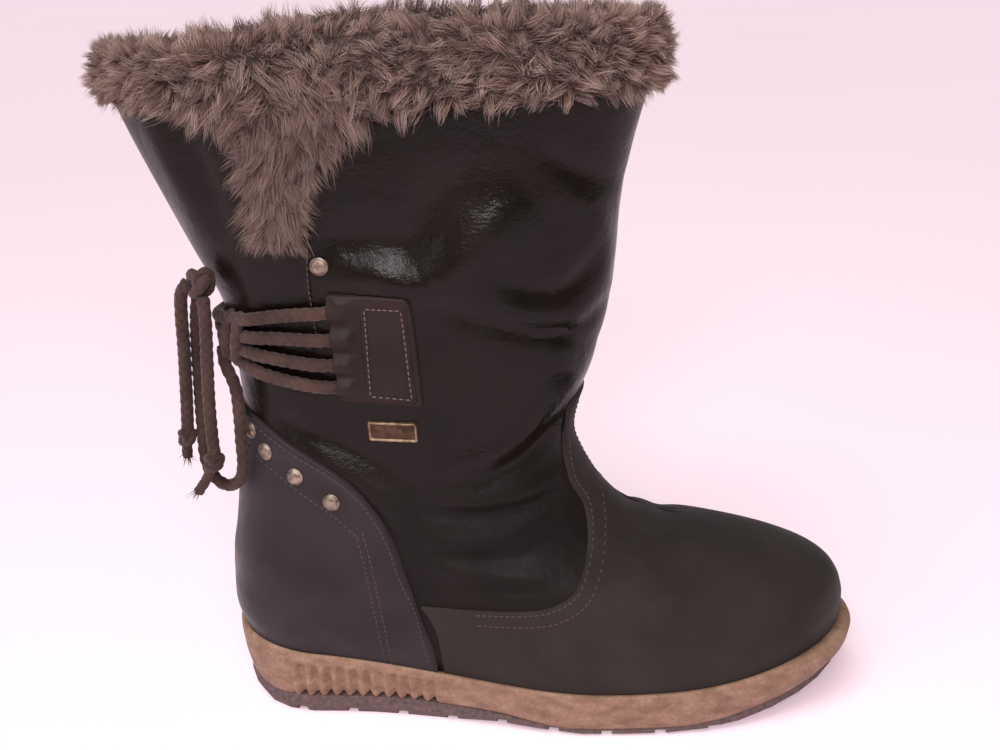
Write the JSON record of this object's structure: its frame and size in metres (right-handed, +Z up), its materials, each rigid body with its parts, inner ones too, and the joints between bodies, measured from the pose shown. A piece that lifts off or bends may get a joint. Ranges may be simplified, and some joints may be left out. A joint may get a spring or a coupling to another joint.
{
  "type": "winter boot",
  "caption": "Right-foot mid-calf winter boot with a hollow leather upper, fur collar, lacing round the back, studded heel counter, gum sole and lugged tread.",
  "frame": {"origin": "on the floor under the middle of the heel, on the flat of the heel's tread", "axes": "+X to the toe, +Z up, -Y to the outer side of the right foot"},
  "size_m": [0.3234, 0.1037, 0.312],
  "materials": {
    "shaft_leather": "smooth, soft sheen, dark brown",
    "counter_leather": "fine-grained, semi-matt, grey-brown",
    "nubuck": "matt nubuck, charcoal brown",
    "fur": "deep pile, taupe with pale tips",
    "lining": "short warm pile, beige",
    "gum_rubber": "matt gum rubber, tan",
    "tread_rubber": "matt rubber, dark grey-brown",
    "lace_cord": "braided cord, brown",
    "aged_brass": "aged, brushed"
  },
  "bodies": {
    "root": {"upper": "shaft_leather", "heel_counter": "counter_leather", "fur_collar": "fur", "insole": "lining", "midsole": "gum_rubber", "outsole": "tread_rubber", "lace_tab_outer": "shaft_leather", "lace_tab_inner": "shaft_leather", "side_plate": "aged_brass", "stud_shaft": "aged_brass", "stud_outer_1": "aged_brass", "stud_outer_2": "aged_brass", "stud_outer_3": "aged_brass", "stud_outer_4": "aged_brass", "stud_inner_1": "aged_brass", "stud_inner_2": "aged_brass", "stud_inner_3": "aged_brass", "stud_inner_4": "aged_brass", "lace_bars": "lace_cord", "lace_knot": "lace_cord", "lace_loop": "lace_cord", "lace_end_a": "lace_cord", "lace_end_a_knot": "lace_cord", "lace_end_b": "lace_cord", "lace_end_b_knot": "lace_cord"}
  },
  "joints": []
}
